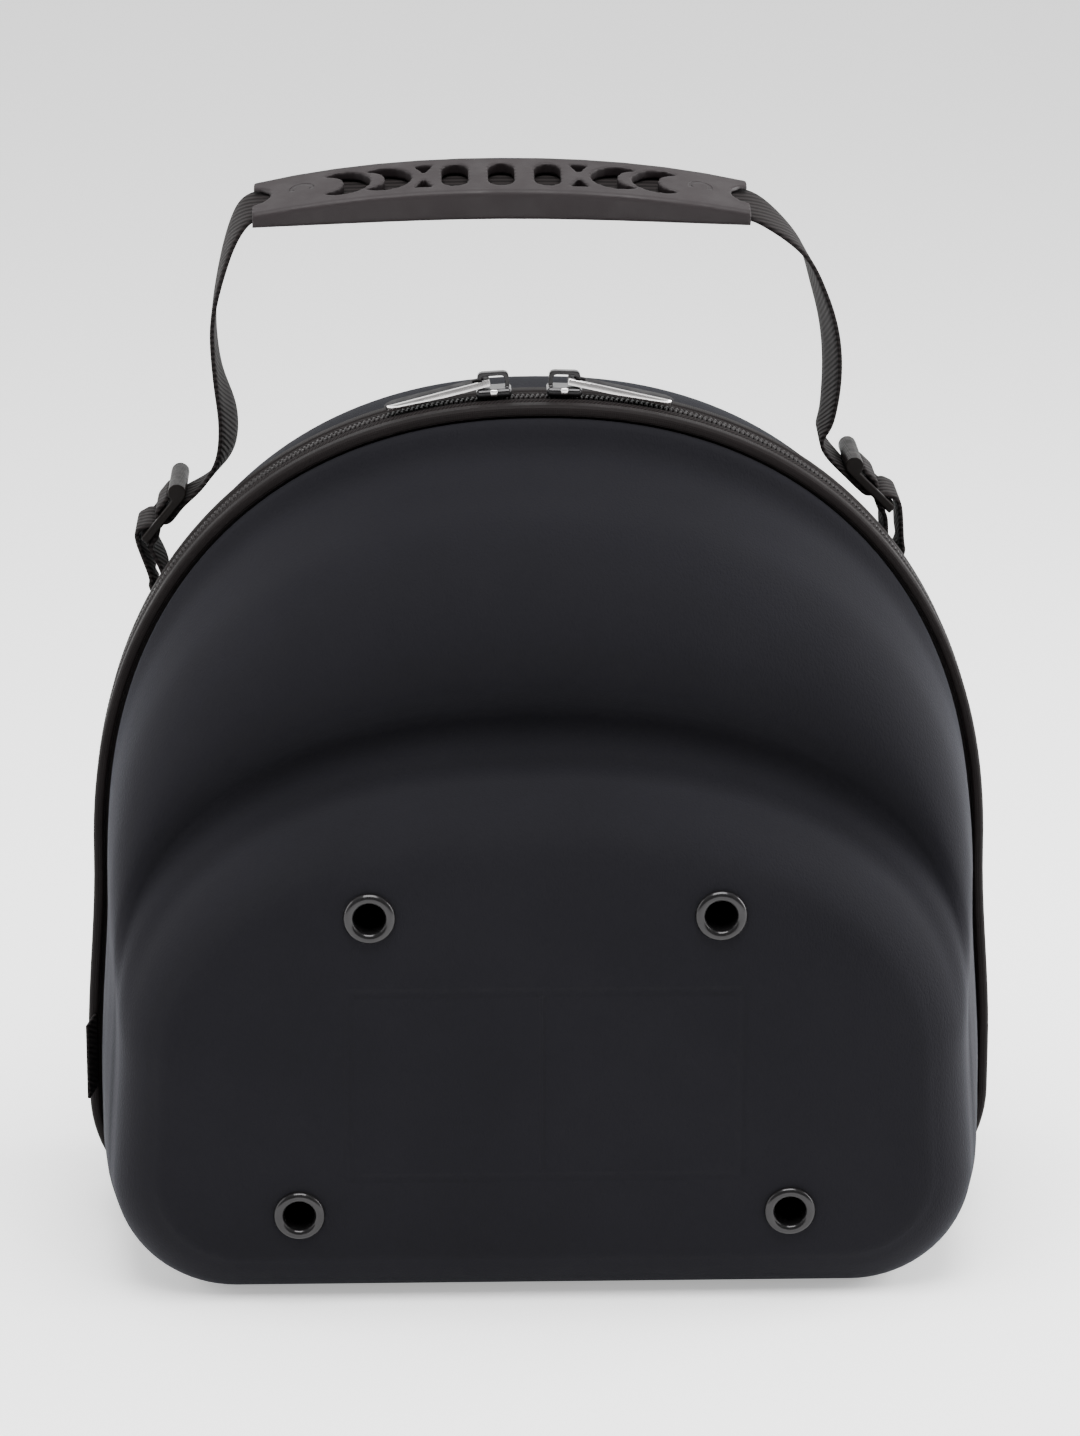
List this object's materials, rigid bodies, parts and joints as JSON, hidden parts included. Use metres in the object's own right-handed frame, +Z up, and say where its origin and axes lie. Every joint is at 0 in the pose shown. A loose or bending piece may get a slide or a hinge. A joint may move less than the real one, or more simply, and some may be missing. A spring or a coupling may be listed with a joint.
{
  "type": "baseball cap carrier case",
  "caption": "Moulded zip-round carrier case for baseball caps, with a stepped front shell, vent eyelets and a padded carry handle on an adjustable strap.",
  "frame": {"origin": "on the floor under the middle of the case", "axes": "+Z up, -Y towards the stepped front of the case, +X to the right of the case as its front is seen"},
  "size_m": [0.3038, 0.1627, 0.3568],
  "materials": {
    "shell_fabric": "fine woven cloth over a moulded foam shell",
    "binding_tape": "smooth woven binding tape",
    "zip_fabric": "twill zip tape",
    "zip_coil": "coil teeth, satin",
    "black_metal": "gloss black plating",
    "pull_metal": "polished dark nickel",
    "webbing": "ribbed webbing",
    "grip_rubber": "soft matt rubber",
    "lock_plastic": "gloss moulded plastic",
    "label_cloth": "plain woven label"
  },
  "bodies": {
    "case": {"front_shell": "shell_fabric", "back_shell": "shell_fabric", "front_binding": "binding_tape", "back_binding": "binding_tape", "zip_tape_front": "zip_fabric", "zip_tape_back": "zip_fabric", "hinge_strip": "zip_fabric", "zip_chain": "zip_coil", "slider_left": "black_metal", "slider_right": "black_metal", "eyelet_upper_left": "black_metal", "eyelet_upper_right": "black_metal", "eyelet_lower_left": "black_metal", "eyelet_lower_right": "black_metal", "handle_strap": "webbing", "handle_grip": "grip_rubber", "ladder_lock_left": "lock_plastic", "ladder_lock_right": "lock_plastic", "anchor_tab_left": "webbing", "anchor_tab_right": "webbing", "side_label": "label_cloth"},
    "pull_left": {"pull_left": "pull_metal"},
    "pull_right": {"pull_right": "pull_metal"}
  },
  "joints": [
    {"name": "pull_left_hinge", "type": "hinge", "parent": "case", "child": "pull_left", "pos_m": [-0.01689, 0.0063, 0.29106], "axis": [0, 1, 0], "range_deg": [0, 120]},
    {"name": "pull_right_hinge", "type": "hinge", "parent": "case", "child": "pull_right", "pos_m": [0.01058, 0.0063, 0.29141], "axis": [0, -1, 0], "range_deg": [0, 120]}
  ]
}
